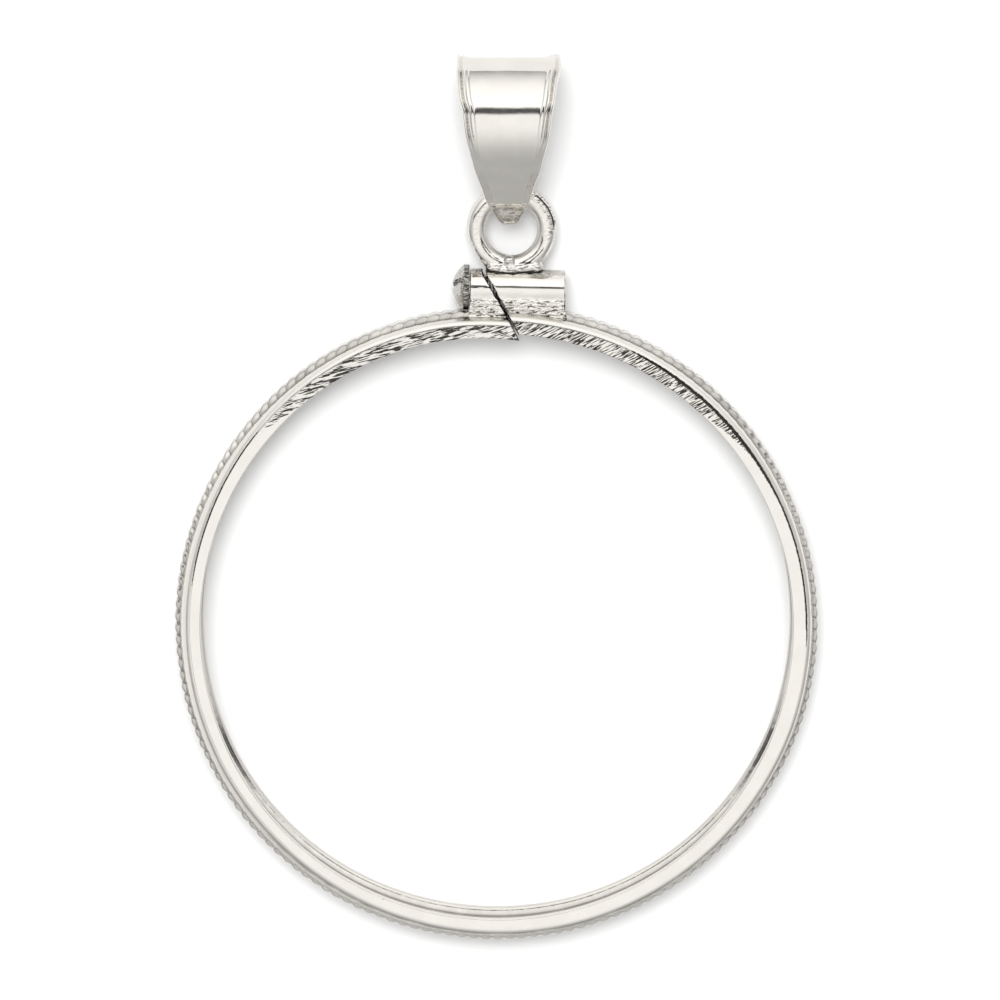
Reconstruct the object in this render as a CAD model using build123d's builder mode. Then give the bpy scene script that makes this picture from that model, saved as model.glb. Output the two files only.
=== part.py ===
"""Screw-top coin bezel pendant: a reeded channel ring, its closing screw and a tapered bail.

Millimetres. The ring's axis is +Z and the origin is the ring's centre on its back face.
+Y runs to the bail and +X to the right, seen from the front. The pendant lies on its back.
"""

import math
import os

from build123d import *

os.makedirs("parts", exist_ok=True)

# Coin that the channel is made for
coin_diameter = 30.6
coin_thickness = 2.15
coin_edge_clearance = 0.05
coin_face_clearance = 0.05

# Channel section
lip_overlap = 0.45
lip_thickness = 0.35
lip_edge_break = 0.10
rim_wall = 0.90
crease_wall = 0.25
crease_depth = 0.40
shoulder_depth = 0.80

# Reeds round the domed edge
reed_count = 164
reed_depth = 0.15
edge_drop = 0.35

# Closing tube on the rim, and the cast saddle under it
tube_diameter = 1.87
tube_length = 4.74
tube_offset = 1.04
tube_sink = 0.125
tube_slope = 1.2
saddle_thickness = 1.75
saddle_left_flare = 0.14
saddle_right_flare = 0.24
saddle_bury = 0.15

# Saw cut that opens the ring
slit_width = 0.12
slit_position = 1.16
slit_lean = 29.4

# Closing screw
shank_diameter = 1.20
shank_clearance = 0.05
head_diameter = 2.27
head_thickness = 0.83
head_rim = 0.26
head_gap = 0.05
screw_end_recess = 0.25
slot_width = 0.30
slot_depth = 0.28
slot_turn = 25.0

# Jump ring soldered on the tube
jump_outer_diameter = 4.50
jump_wire = 0.96
jump_offset = -0.30
jump_sink = 0.23
solder_thickness = 0.84
solder_height = 0.50
solder_left_reach = 0.90
solder_right_reach = 1.55

# Bail: a strip bent into a teardrop loop, seen from the side, and tapered, seen from the front
bail_offset = 0.61
bail_strip = 0.32
bail_eye_radius = 1.14
bail_reach = 4.35
bail_top_radius = 2.80
bail_width = 5.18
bail_shoulder_height = 7.00
bail_waist_width = 2.06
bail_waist_height = 0.32
bail_tip_width = 1.00
bail_tip_height = 1.02
bail_side_bow = 0.10
bail_rim_foot = 1.80
bail_rim_width = 0.34
bail_rim_rise = 0.18

# Sizes that follow from the driving ones
channel_radius = coin_diameter / 2 + coin_edge_clearance
lip_radius = coin_diameter / 2 - lip_overlap
channel_width = coin_thickness + 2 * coin_face_clearance
ring_thickness = channel_width + 2 * lip_thickness
mid_height = ring_thickness / 2
crest_radius = channel_radius + rim_wall
crease_radius = channel_radius + crease_wall
band_half = mid_height - shoulder_depth
band_edge_radius = crest_radius - edge_drop
dome_radius = (band_half**2 + edge_drop**2) / (2 * edge_drop)
band_bore_radius = (channel_radius + crease_radius) / 2

tube_radius = tube_diameter / 2
tube_y = crest_radius + tube_radius - tube_sink
bore_radius = shank_diameter / 2 + shank_clearance
tube_centre = (tube_offset, tube_y, mid_height)
tube_direction = (math.cos(math.radians(tube_slope)), -math.sin(math.radians(tube_slope)), 0)

jump_wire_radius = jump_wire / 2
jump_circle = (jump_outer_diameter - jump_wire) / 2
jump_x = tube_offset + jump_offset
jump_y = tube_y + tube_radius - jump_sink + jump_outer_diameter / 2

bail_loop_radius = bail_eye_radius + bail_strip
bail_pivot = (bail_offset, jump_y + jump_circle, mid_height)

# The rims of the loop's back touch the surface that the ring's back face lies on
bail_tilt = math.asin((bail_top_radius + bail_rim_rise - mid_height) / bail_reach)
bail_up = (0, math.cos(bail_tilt), math.sin(bail_tilt))
bail_out = (0, -math.sin(bail_tilt), math.cos(bail_tilt))


def crest_at(height):
    """Radius of the reeds' crests on the domed edge, at a height from the ring's middle"""
    return crest_radius - dome_radius + math.sqrt(dome_radius**2 - height**2)


def draw_reeds(crest):
    """Closed outline of round reeds with sharp valleys between them"""
    valley = crest - reed_depth
    step = 360 / reed_count
    arcs = [
        ThreePointArc(
            Vector(valley, 0).rotate(Axis.Z, step * index - step / 2),
            Vector(crest, 0).rotate(Axis.Z, step * index),
            Vector(valley, 0).rotate(Axis.Z, step * index + step / 2),
            mode=Mode.PRIVATE,
        )
        for index in range(reed_count)
    ]
    make_face(arcs)


def draw_loop(eye_radius, top_radius, mode=Mode.ADD):
    """Side view of the bail's loop, x up the bail: two round ends and the lines that touch both"""
    turn = math.asin((top_radius - eye_radius) / bail_reach)
    touch = Vector(-math.sin(turn), math.cos(turn))
    with BuildLine() as loop:
        CenterArc((0, 0), eye_radius, 90 + math.degrees(turn), 90 - math.degrees(turn))
        Line(touch * eye_radius, Vector(bail_reach, 0) + touch * top_radius)
        CenterArc((bail_reach, 0), top_radius, 0, 90 + math.degrees(turn))
        mirror(about=Plane.XZ)
    make_face(loop.edges(), mode=mode)


def draw_bail_front(inset=0.0, mode=Mode.ADD):
    """Front view of the bail: bowed sides that taper to a waist, then a round tip"""
    top = bail_reach + bail_top_radius + bail_rim_rise + bail_strip
    shoulder = Vector(bail_width / 2 - inset, bail_shoulder_height)
    waist = Vector(bail_waist_width / 2 - inset, bail_waist_height)
    tip = Vector(bail_tip_width / 2 - inset, bail_tip_height - bail_loop_radius)
    bow = (shoulder + waist) / 2 + Vector(bail_side_bow, 0)
    tip_radius = (tip.X**2 + bail_tip_height**2) / (2 * bail_tip_height)
    with BuildLine() as outline:
        Line((0, top), (shoulder.X, top))
        Line((shoulder.X, top), shoulder)
        ThreePointArc(shoulder, bow, waist)
        Line(waist, tip)
        RadiusArc(tip, (0, -bail_loop_radius), tip_radius)
        mirror(about=Plane.YZ)
    make_face(outline.edges(), mode=mode)


tube_plane = Plane(origin=tube_centre, x_dir=(0, 0, 1), z_dir=tube_direction)
tube_side_plane = Plane(origin=tube_centre, x_dir=tube_direction, z_dir=(0, 0, 1))
bail_side_plane = Plane(origin=bail_pivot, x_dir=bail_up, z_dir=(1, 0, 0))
bail_front_plane = Plane(origin=bail_pivot, x_dir=(1, 0, 0), z_dir=bail_out)


# Bezel: reeded channel ring, saddle, tube and jump ring, soldered into one piece

with BuildPart() as bezel:
    for height in (-band_half, -band_half / 2, 0, band_half / 2, band_half):
        with BuildSketch(Plane.XY.offset(mid_height + height)):
            draw_reeds(crest_at(height))
    loft(ruled=True)
    with BuildSketch(Plane.XY):
        Circle(band_bore_radius)
    extrude(amount=ring_thickness, mode=Mode.SUBTRACT)

    # Channel with a flat lip on each face, a crease outside it and a sloping shoulder
    with BuildSketch(Plane.XZ):
        with BuildLine():
            Polyline(
                (channel_radius, mid_height),
                (channel_radius, lip_thickness),
                (lip_radius, lip_thickness),
                (lip_radius, lip_edge_break),
                (lip_radius + lip_edge_break, 0),
                (crease_radius - lip_edge_break, 0),
                (crease_radius, lip_edge_break),
                (crease_radius, crease_depth),
                (band_edge_radius - reed_depth, shoulder_depth),
                (band_edge_radius - reed_depth, mid_height),
                close=True,
            )
        make_face()
        mirror(about=Plane.XZ.offset(-mid_height))
    revolve(axis=Axis.Z)

    # Saddle from the rim up to the tube, flared at both feet
    saddle_left = tube_offset - tube_length / 2
    saddle_right = tube_offset + tube_length / 2
    with BuildSketch(Plane.XY.offset(mid_height)):
        with BuildLine():
            Polyline(
                (saddle_left - saddle_left_flare, lip_radius),
                (saddle_left, tube_y),
                (saddle_right, tube_y),
                (saddle_right + saddle_right_flare, lip_radius),
                close=True,
            )
        make_face()
        Circle(channel_radius + saddle_bury, mode=Mode.SUBTRACT)
    extrude(amount=saddle_thickness / 2, both=True)

    # Tube along the rim
    with BuildSketch(tube_plane):
        Circle(tube_radius)
    extrude(amount=tube_length / 2, both=True)

    # Jump ring in the ring's own plane, in a fillet of solder on the tube
    with Locations((jump_x, jump_y, mid_height)):
        Torus(jump_circle, jump_wire_radius)
    with BuildSketch(Plane.XY.offset(mid_height)):
        with BuildLine():
            Polyline(
                (jump_x - solder_left_reach, tube_y + bore_radius),
                (jump_x - solder_left_reach, tube_y + tube_radius),
                (jump_x - jump_circle / 2, tube_y + tube_radius + solder_height),
                (jump_x + jump_circle / 2, tube_y + tube_radius + solder_height),
                (jump_x + solder_right_reach, tube_y + tube_radius),
                (jump_x + solder_right_reach, tube_y + bore_radius),
                close=True,
            )
        make_face()
    extrude(amount=solder_thickness / 2, both=True)

    # Bore for the screw, and the notch in the rim that its head comes out through
    with BuildSketch(tube_plane):
        Circle(bore_radius)
    extrude(amount=tube_length, both=True, mode=Mode.SUBTRACT)
    with BuildSketch(tube_plane.offset(-tube_length / 2)):
        Circle(head_diameter / 2 + head_gap)
    extrude(amount=-tube_length, mode=Mode.SUBTRACT)

    # Slanting saw cut through the tube, saddle and ring
    slit_x = tube_offset - tube_length / 2 + slit_position
    slit_down = (tube_y - lip_radius) / math.cos(math.radians(slit_lean)) + lip_overlap
    slit_up = tube_radius / math.cos(math.radians(slit_lean)) + slit_width
    with BuildSketch(Plane.XY.offset(mid_height)):
        with Locations(Location((slit_x, tube_y, 0), (0, 0, slit_lean))):
            with Locations((0, (slit_up - slit_down) / 2)):
                Rectangle(slit_width, slit_up + slit_down)
    extrude(amount=ring_thickness, both=True, mode=Mode.SUBTRACT)
bezel.part.label = "bezel"
export_step(bezel.part, "parts/bezel.step")


# Closing screw: a domed head with a slot, outside the tube's left end, and a plain shank

head_face = -tube_length / 2 - head_gap
head_radius = head_diameter / 2
with BuildPart() as closing_screw:
    with BuildSketch(tube_side_plane):
        with BuildLine():
            Polyline(
                (head_face - head_thickness, 0),
                (tube_length / 2 - screw_end_recess, 0),
                (tube_length / 2 - screw_end_recess, shank_diameter / 2),
                (head_face, shank_diameter / 2),
                (head_face, head_radius),
                (head_face - head_rim, head_radius),
            )
            dome_rise = head_thickness - head_rim
            dome_arc = (head_radius**2 + dome_rise**2) / (2 * dome_rise)
            RadiusArc(
                (head_face - head_rim, head_radius), (head_face - head_thickness, 0), -dome_arc
            )
        make_face()
    revolve(axis=Axis(tube_centre, tube_direction))
    with BuildSketch(tube_plane.rotated((0, 0, slot_turn)).offset(head_face - head_thickness)):
        Rectangle(head_diameter, slot_width)
    extrude(amount=slot_depth, both=True, mode=Mode.SUBTRACT)
closing_screw.part.label = "closing_screw"
export_step(closing_screw.part, "parts/closing_screw.step")


# Raised rims along both edges of the bail's strip, down to their foot

with BuildPart() as bail_rims:
    with BuildSketch(bail_side_plane):
        draw_loop(bail_loop_radius, bail_top_radius + bail_rim_rise)
        draw_loop(
            bail_loop_radius - bail_strip / 2, bail_top_radius - bail_strip / 2, mode=Mode.SUBTRACT
        )
    extrude(amount=bail_width, both=True)
    with BuildSketch(bail_front_plane):
        draw_bail_front()
        draw_bail_front(inset=bail_rim_width, mode=Mode.SUBTRACT)
        with Locations((0, bail_rim_foot - bail_reach)):
            Rectangle(bail_width, 2 * bail_reach, mode=Mode.SUBTRACT)
        with Locations((0, bail_shoulder_height + bail_reach)):
            Rectangle(bail_width - 2 * bail_rim_width, 2 * bail_reach, mode=Mode.SUBTRACT)
    extrude(amount=bail_reach, both=True, mode=Mode.INTERSECT)

# Bail: tapered strip bent round the jump ring and closed at its tip

with BuildPart() as bail:
    with BuildSketch(bail_side_plane):
        draw_loop(bail_loop_radius, bail_top_radius)
        draw_loop(bail_eye_radius, bail_top_radius - bail_strip, mode=Mode.SUBTRACT)
    extrude(amount=bail_width, both=True)
    with BuildSketch(bail_front_plane):
        draw_bail_front()
    extrude(amount=bail_reach, both=True, mode=Mode.INTERSECT)
    add(bail_rims.part)
bail.part.label = "bail"
export_step(bail.part, "parts/bail.step")
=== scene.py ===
"""Looks of the screw-top coin bezel pendant. Shapes are in millimetres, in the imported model's frame."""

import math

import bpy
import numpy as np
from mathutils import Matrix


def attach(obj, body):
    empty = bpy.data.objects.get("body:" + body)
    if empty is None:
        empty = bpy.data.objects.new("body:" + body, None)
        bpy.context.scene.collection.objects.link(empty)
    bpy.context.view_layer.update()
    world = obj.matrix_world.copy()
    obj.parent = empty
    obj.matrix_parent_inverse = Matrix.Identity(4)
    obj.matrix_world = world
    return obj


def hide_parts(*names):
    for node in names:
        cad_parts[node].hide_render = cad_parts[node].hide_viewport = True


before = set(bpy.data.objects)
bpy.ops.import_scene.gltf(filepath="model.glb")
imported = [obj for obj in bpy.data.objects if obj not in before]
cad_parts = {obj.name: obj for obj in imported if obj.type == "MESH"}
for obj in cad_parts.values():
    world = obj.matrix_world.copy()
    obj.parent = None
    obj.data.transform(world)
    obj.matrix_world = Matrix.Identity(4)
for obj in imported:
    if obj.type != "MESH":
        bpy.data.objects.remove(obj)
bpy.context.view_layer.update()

MM = 0.001

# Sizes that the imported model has
THICKNESS = 2.95
MIDDLE = THICKNESS / 2
LIP_RADIUS = 14.85
CHANNEL_RADIUS = 15.35
REEDS = 164
REED_DEPTH = 0.09
REED_PITCH = 360 / REEDS
TUBE_RADIUS = 0.935
TUBE_HALF = 2.37
TUBE_CENTRE = np.array((1.04, 17.06, MIDDLE))
TUBE_SLOPE = math.radians(1.2)
BORE_RADIUS = 0.65
SHANK_RADIUS = 0.60
SHANK_RECESS = 0.25
SLIT_WIDTH = 0.12
SLIT_LEAN = math.radians(29.4)
SLIT_X = -0.17
HEAD_RADIUS = 1.135
HEAD_THICKNESS = 0.83
HEAD_RIM = 0.26
HEAD_GAP = 0.05
SLOT_TURN = math.radians(25)
SLOT_WIDTH = 0.30
SLOT_DEPTH = 0.28
JUMP_CENTRE = np.array((0.74, 20.015, MIDDLE))
JUMP_CIRCLE = 1.77
JUMP_WIRE = 0.48
PIVOT = np.array((0.61, 21.785, MIDDLE))
BAIL_STRIP = 0.32
BAIL_EYE = 1.14
BAIL_REACH = 4.35
BAIL_TOP = 2.80
BAIL_RIM = 0.18
BAIL_TILT = math.asin((BAIL_TOP + BAIL_RIM - MIDDLE) / BAIL_REACH)

# The ring's left end stands this far inward of its right end, and is back in round between these angles
END_SHIFT = 0.28
SHIFT_FROM = 87.0
SHIFT_TO = 130.0


# Numbers


def smooth_step(low, high, value):
    """0 below low, 1 above high, smooth between"""
    t = np.clip((value - low) / (high - low), 0, 1)
    return t * t * (3 - 2 * t)


def window(value, start, full, fade, end):
    """0 up to start, 1 from full to fade, 0 from end on, smooth between"""
    return smooth_step(start, full, value) * smooth_step(end, fade, value)


def line(value, middle, width):
    """1 where the value is at the middle, fading over about the width on both sides"""
    return np.exp(-(((value - middle) / width) ** 2))


def noise(points, size, seed):
    """Smooth random field from -1 to 1, with lumps about size across"""
    table = np.random.default_rng(seed).uniform(-1, 1, (32, 32, 32))
    scaled = points / size
    cell = np.floor(scaled).astype(int)
    t = scaled - cell
    t = t * t * (3 - 2 * t)
    total = 0
    for corner in np.ndindex(2, 2, 2):
        weight = 1
        for axis in range(3):
            weight = weight * (t[..., axis] if corner[axis] else 1 - t[..., axis])
        lattice = (cell + np.array(corner)) % 32
        total = total + weight * table[lattice[..., 0], lattice[..., 1], lattice[..., 2]]
    return total


def line_noise(value, size, seed):
    """Smooth random numbers from -1 to 1 along one value"""
    return noise(np.stack([value, value * 0, value * 0], -1), size, seed)


def smooth_min(a, b, reach):
    """Union of two distance fields with a fillet"""
    h = np.clip(reach - np.abs(a - b), 0, None) / reach
    return np.minimum(a, b) - h * h * reach / 4


def smooth_max(a, b, reach):
    """Intersection of two distance fields with a rounded edge"""
    return -smooth_min(-a, -b, reach)


def drum(radial, along, radius, half, edge):
    """Distance to a cylinder with rounded rims"""
    q = radial - radius + edge
    s = np.abs(along) - half + edge
    return np.hypot(np.maximum(q, 0), np.maximum(s, 0)) + np.minimum(np.maximum(q, s), 0) - edge


def ball(points, centre, radii):
    """Rough distance to an ellipsoid"""
    radii = np.array(radii)
    scaled = np.linalg.norm((points - np.array(centre)) / radii, axis=-1)
    return (scaled - 1) * radii.min()


# Meshes


def add_piece(name, points, faces, material, body, node):
    """A mesh piece from points in millimetres, in place of a node and riding on a body"""
    mesh = bpy.data.meshes.new(name)
    faces = faces if isinstance(faces, list) else faces.tolist()
    mesh.from_pydata((np.asarray(points) * MM).tolist(), [], faces)
    mesh.validate()
    mesh.shade_smooth()
    piece = bpy.data.objects.new(name, mesh)
    bpy.context.scene.collection.objects.link(piece)
    mesh.materials.append(material)
    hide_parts(node)
    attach(piece, body)
    return piece


def set_attribute(piece, name, values):
    """A number at each point of the piece, which its material reads"""
    layer = piece.data.attributes.new(name, "FLOAT", "POINT")
    layer.data.foreach_set("value", np.asarray(values, dtype=np.float32).ravel())


def surface_net(field, low, high, step):
    """Quad mesh of the field's zero surface, with its points drawn onto that surface"""
    axes = [np.arange(low[i], high[i] + step, step) for i in range(3)]
    grid = np.stack(np.meshgrid(*axes, indexing="ij"), -1)
    value = field(grid)
    inside = value < 0
    cells = tuple(n - 1 for n in value.shape)
    total = np.zeros(cells + (3,))
    count = np.zeros(cells)
    edges = []
    for axis in range(3):
        here = [slice(None)] * 3
        ahead = [slice(None)] * 3
        here[axis] = slice(0, -1)
        ahead[axis] = slice(1, None)
        here = tuple(here)
        ahead = tuple(ahead)
        crossing = inside[here] != inside[ahead]
        where = np.argwhere(crossing)
        v0 = value[here][crossing]
        v1 = value[ahead][crossing]
        place = grid[here][crossing].copy()
        place[:, axis] += step * v0 / (v0 - v1)
        others = [i for i in range(3) if i != axis]
        keep = np.ones(len(where), bool)
        for i in others:
            keep &= (where[:, i] > 0) & (where[:, i] < value.shape[i] - 1)
        where = where[keep]
        place = place[keep]
        outward = inside[here][crossing][keep]
        around = []
        for da, db in ((-1, -1), (0, -1), (0, 0), (-1, 0)):
            cell = where.copy()
            cell[:, others[0]] += da
            cell[:, others[1]] += db
            around.append(cell)
            np.add.at(total, tuple(cell.T), place)
            np.add.at(count, tuple(cell.T), 1)
        edges.append((axis, outward, around))
    active = count > 0
    index = np.full(cells, -1)
    index[active] = np.arange(active.sum())
    points = total[active] / count[active][:, None]
    quads = []
    for axis, outward, around in edges:
        quad = np.stack([index[tuple(cell.T)] for cell in around], 1)
        turned = outward if axis != 1 else ~outward
        quad[~turned] = quad[~turned][:, ::-1]
        quads.append(quad)
    quads = np.concatenate(quads)
    for _ in range(3):
        points = points - pull(field, points, step)
    return points, quads


def pull(field, points, step):
    """Move from each point to the field's zero surface, along the slope and at most one step"""
    small = step * 0.1
    value = field(points)
    nudges = small * np.eye(3)
    slope = np.stack([(field(points + nudge) - field(points - nudge)) / (2 * small) for nudge in nudges], -1)
    size = np.maximum((slope**2).sum(-1, keepdims=True), 0.05)
    move = value[..., None] * slope / size
    length = np.linalg.norm(move, axis=-1, keepdims=True)
    return move * np.minimum(1, step / np.maximum(length, 1e-9))


def swept_faces(columns, rows, closed_columns=False):
    """Quads of a grid of columns, each a closed loop of rows"""
    column = np.arange(columns if closed_columns else columns - 1)
    c, r = np.meshgrid(column, np.arange(rows), indexing="ij")
    c = c.ravel()
    r = r.ravel()
    c2 = (c + 1) % columns
    r2 = (r + 1) % rows
    return np.stack([c * rows + r, c2 * rows + r, c2 * rows + r2, c * rows + r2], 1)


# Materials


class Nodes:
    """Short way to write a node tree"""

    def __init__(self, tree):
        self.tree = tree
        tree.nodes.clear()

    def add(self, kind, inputs=(), **settings):
        node = self.tree.nodes.new(kind)
        for name, value in settings.items():
            setattr(node, name, value)
        for key, value in dict(inputs).items():
            if isinstance(value, bpy.types.NodeSocket):
                self.tree.links.new(value, node.inputs[key])
            else:
                node.inputs[key].default_value = value
        return node

    def math(self, operation, a, b=0.0):
        return self.add("ShaderNodeMath", {0: a, 1: b}, operation=operation).outputs[0]

    def plus(self, value, other, share):
        """The value, plus a share of the other"""
        return self.math("ADD", value, self.math("MULTIPLY", other, share))

    def ramp(self, value, stops):
        """Grey level by a value from 0 to 1: pairs of place and level"""
        node = self.add("ShaderNodeValToRGB", {0: value})
        elements = node.color_ramp.elements
        while len(elements) < len(stops):
            elements.new(0.5)
        for element, (place, level) in zip(elements, stops):
            element.position = place
            element.color = (level, level, level, 1)
        return node.outputs[0]

    def between(self, value, low, high, to_low=0.0, to_high=1.0):
        """Smooth step of the value from to_low at low to to_high at high"""
        node = self.add(
            "ShaderNodeMapRange",
            {"Value": value, "From Min": low, "From Max": high, "To Min": to_low, "To Max": to_high},
            interpolation_type="SMOOTHSTEP",
        )
        return node.outputs[0]

    def noise(self, vector, scale, detail=3.0, rough=0.5):
        node = self.add(
            "ShaderNodeTexNoise", {"Vector": vector, "Scale": scale, "Detail": detail, "Roughness": rough}
        )
        return node.outputs[0]

    def mapped(self, vector, scale, turn=0.0):
        """Coordinates turned about Z, then scaled"""
        turned = self.add("ShaderNodeMapping", {"Vector": vector, "Rotation": (0, 0, turn)}).outputs[0]
        return self.add("ShaderNodeMapping", {"Vector": turned, "Scale": scale}).outputs[0]

    def mix(self, factor, a, b):
        node = self.add("ShaderNodeMix", data_type="RGBA")
        for socket, value in ((node.inputs[0], factor), (node.inputs[6], a), (node.inputs[7], b)):
            if isinstance(value, bpy.types.NodeSocket):
                self.tree.links.new(value, socket)
            else:
                socket.default_value = value if not isinstance(value, tuple) else (*value, 1)
        return node.outputs[2]

    def attribute(self, name):
        return self.add("ShaderNodeAttribute", attribute_name=name).outputs["Fac"]


SILVER = (0.78, 0.755, 0.706)
# Darker pores, and painted shade in the joins, slots and grooves of the cast pieces
DIRT_AND_SHADE = (0.045, 0.042, 0.036)
# The ring's dark seam and dashes, and painted shade on the cut's edges
SEAM_DIRT_AND_SHADE = (0.04, 0.038, 0.033)
MARK_DARK = (0.03, 0.028, 0.024)
# Oxide in the reeds' grooves with painted shade there, and painted shade on the upper reed ends, the lower
# shoulder and in the channel
OXIDE_AND_SHADE_TONE = (0.16, 0.15, 0.135)

# File marks on the front lip, left and right of the cut. angles: where they start, are full, fade and end.
# draws_in: between which angles they leave the lip's inner edge, and how far. soft: softness of that limit
# inward and outward. turn: of the strokes, in degrees. thin: share of thin strokes
FILE_MARKS = (
    {
        "name": "filed_left",
        "angles": (86.2, 87, 129, 149),
        "draws_in": (126, 147, 0.65),
        "soft": (0.15, 0.10),
        "turn": -20,
        "thin": 0.6,
    },
    {
        "name": "filed_right",
        "angles": (15, 34, 86.6, 87.4),
        "draws_in": (53, 31, 0.70),
        "soft": (0.22, 0.05),
        "turn": -33,
        "thin": 0.8,
    },
)


def darker(tone, share):
    return tuple(share * part for part in tone)


def cast_look(n, place, colour, level, height):
    """Pores and lumps where the piece's attribute rough says, with darker pores, and painted shade and dark
    marks where crease says
    """
    mask = n.attribute("rough")
    pore = n.noise(n.mapped(place, (3000.0, 12000.0, 7000.0)), 1.0, 3.0, 0.6)
    hole = n.math("MULTIPLY", n.between(pore, 0.555, 0.605), mask)
    lump = n.noise(n.mapped(place, (1500.0, 5200.0, 2800.0)), 1.0, 3.0, 0.6)
    height = n.plus(height, hole, -0.05 * MM)
    height = n.plus(height, n.math("MULTIPLY", lump, mask), 0.10 * MM)
    # Painted shade in joins, slots and grooves, and dark spots and marks, where crease says
    seam = n.between(n.plus(n.attribute("crease"), pore, 0.8), 0.95, 1.25)
    dirt_and_shade = n.math("MAXIMUM", n.math("MULTIPLY", hole, 0.85), seam)
    return n.mix(dirt_and_shade, colour, DIRT_AND_SHADE), n.plus(level, mask, 0.06), height


def filed_look(n, place, cloud, colour, level, height):
    """File marks, oxide and painted shade in the hollows, a duller shoulder (soft), and dark seams with
    painted shade at the cut (crease)
    """
    patch = n.noise(place, 700.0, 2.0)
    for marks in FILE_MARKS:
        mask = n.attribute(marks["name"])
        turn = math.radians(marks["turn"])
        coarse = n.noise(n.mapped(place, (1100.0, 8000.0, 1100.0), turn), 1.0, 1.0)
        thin = n.noise(n.mapped(place, (1700.0, 17000.0, 1700.0), turn + 0.1), 1.0, 1.0)
        groove = n.plus(n.math("MULTIPLY", coarse, 1 - marks["thin"]), thin, marks["thin"])
        groove = n.plus(groove, patch, 0.12)
        above = n.math("SUBTRACT", groove, n.between(mask, 0.03, 0.80, 0.84, 0.570))
        height = n.plus(height, n.between(above, -0.02, 0.03), -0.010 * MM)
        colour = n.mix(n.between(above, -0.005, 0.015, 0.0, 0.97), colour, MARK_DARK)
        level = n.plus(level, mask, 0.05)
    # Oxide and painted shade in the reeds' grooves, and painted shade on the lower shoulder and in the
    # channel
    oxide_and_shade_amount = n.math("MULTIPLY", n.attribute("oxide_and_shade"), n.between(cloud, 0.25, 0.65, 0.45, 1.0))
    colour = n.mix(oxide_and_shade_amount, colour, OXIDE_AND_SHADE_TONE)
    level = n.plus(level, n.attribute("soft"), 0.18)
    pore = n.noise(n.mapped(place, (6500.0, 6500.0, 6500.0)), 1.0, 2.0, 0.6)
    # Dark seam and dashes, and painted shade on the cut's edges, where crease says
    seam = n.between(n.math("ADD", n.attribute("crease"), pore), 1.16, 1.36)
    return n.mix(seam, colour, SEAM_DIRT_AND_SHADE), level, n.plus(height, seam, -0.02 * MM)


def silver(name, tone, smooth, rough, cast=False, filed=False, drawn=0.0):
    """Polished silver, of roughness from smooth to rough: cast, filed, or drawn to streaks"""
    material = bpy.data.materials.new(name)
    material.use_nodes = True
    n = Nodes(material.node_tree)
    place = n.add("ShaderNodeTexCoord").outputs["Object"]
    cloud = n.noise(place, 900.0, 4.0, 0.6)
    colour = n.mix(n.between(cloud, 0.35, 0.7), darker(tone, 0.95), tone)
    level = n.between(cloud, 0.3, 0.75, smooth, rough)
    height = n.math("MULTIPLY", n.noise(place, 9000.0, 3.0, 0.6), 0.0004 * MM)
    height = n.plus(height, n.noise(place, 1400.0, 2.0), 0.005 * MM)
    if drawn:
        height = n.plus(height, n.noise(n.mapped(place, (9000.0, 300.0, 300.0)), 1.0, 2.0), drawn * MM)
    if cast:
        colour, level, height = cast_look(n, place, colour, level, height)
    if filed:
        colour, level, height = filed_look(n, place, cloud, colour, level, height)
    bump = n.add("ShaderNodeBump", {"Height": height, "Strength": 1.0, "Distance": 1.0}).outputs[0]
    settings = {"Base Color": colour, "Metallic": 1.0, "Roughness": level, "Normal": bump}
    shader = n.add("ShaderNodeBsdfPrincipled", settings)
    n.add("ShaderNodeOutputMaterial", {"Surface": shader.outputs[0]})
    return material


ring_silver = silver("ring_silver", SILVER, 0.10, 0.20, filed=True)
cast_silver = silver("cast_silver", SILVER, 0.06, 0.16, cast=True)
screw_silver = silver("screw_silver", darker(SILVER, 0.78), 0.10, 0.24, cast=True)
bail_silver = silver("bail_silver", SILVER, 0.07, 0.13, cast=True, drawn=0.0005)


# Ring

# Which half of the section has a row
BOTH, FRONT, BACK = 0, 1, -1
# Half of the section from the channel round the lip to the reeded band: radius, depth below the face, half
LIP_SECTION = (
    (CHANNEL_RADIUS, 0.9, BOTH),
    (CHANNEL_RADIUS, 0.56, BOTH),
    (15.32, 0.505, BACK),
    (15.22, 0.455, BOTH),
    (15.15, 0.425, BACK),
    (15.1, 0.405, BACK),
    (15.05, 0.385, BOTH),
    (14.95, 0.35, BOTH),
    (14.915, 0.325, FRONT),
    (14.905, 0.27, BOTH),
    (14.905, 0.09, BOTH),
    (14.912, 0.04, FRONT),
    (14.93, 0.014, BOTH),
    (14.96, 0.003, FRONT),
    (15.0, 0.0, FRONT),
    (15.1, 0.0, FRONT),
    (15.2, 0.0, BOTH),
    (15.3, 0.0, FRONT),
    (15.4, 0.0, FRONT),
    (15.47, 0.001, FRONT),
    (15.52, 0.004, BOTH),
    (15.56, 0.008, FRONT),
    (15.585, 0.012, FRONT),
    (15.605, 0.016, FRONT),
    (15.625, 0.021, FRONT),
    (15.655, 0.031, BOTH),
    (15.7, 0.053, FRONT),
    (15.74, 0.079, BOTH),
    (15.765, 0.098, FRONT),
    (15.78, 0.113, FRONT),
    (15.8, 0.15, BOTH),
    (15.825, 0.202, FRONT),
    (15.85, 0.26, BOTH),
    (15.875, 0.33, FRONT),
    (15.9, 0.42, BOTH),
    (15.918, 0.51, FRONT),
    (15.93, 0.59, FRONT),
    (15.94, 0.63, BOTH),
)
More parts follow.
